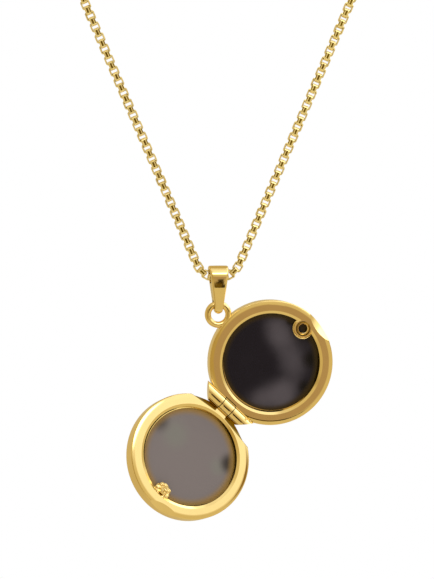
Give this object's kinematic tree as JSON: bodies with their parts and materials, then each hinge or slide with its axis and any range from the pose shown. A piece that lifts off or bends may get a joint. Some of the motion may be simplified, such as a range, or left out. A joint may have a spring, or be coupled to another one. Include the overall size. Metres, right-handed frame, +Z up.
{
  "type": "locket necklace",
  "caption": "Round hinged locket hanging open from a tapered bail and a soldered ring on a fine box link chain, a closed loop with a plain barrel clasp, in polished gold.",
  "frame": {"origin": "where the nape of a neck meets the underside of the clasp, at the top of the loop", "axes": "+Z up, from the locket to the clasp; the loop lies in XZ and the locket's inside faces -Y; +X is to the right as seen from the front"},
  "size_m": [0.1088, 0.0125, 0.2292],
  "materials": {
    "chain_gold": "polished gold links",
    "polished_gold": "mirror polished gold",
    "frame_gold": "bright rolled gold strip",
    "dark_plate": "glossy near-black",
    "grey_plate": "glossy warm grey"
  },
  "bodies": {
    "chain": {"chain": "chain_gold", "clasp": "chain_gold"},
    "bail": {"bail": "polished_gold"},
    "back": {"back_half": "polished_gold", "back_frame": "frame_gold", "back_plate": "dark_plate", "hinge_pin": "polished_gold"},
    "cover": {"cover_half": "polished_gold", "cover_frame": "frame_gold", "cover_plate": "grey_plate"}
  },
  "joints": [
    {"name": "bail_swing", "type": "hinge", "parent": "chain", "child": "bail", "pos_m": [0, 0, -0.18033], "axis": [1, 0, 0], "range_deg": [-75, 75]},
    {"name": "locket_sway", "type": "hinge", "parent": "bail", "child": "back", "pos_m": [0, 0, -0.18753], "axis": [0, -1, 0], "range_deg": [-90, 35]},
    {"name": "cover_hinge", "type": "hinge", "parent": "back", "child": "cover", "pos_m": [0.00188, -0.00075, -0.20566], "axis": [-0.7254, 0, 0.6884], "range_deg": [-6, 159]}
  ]
}
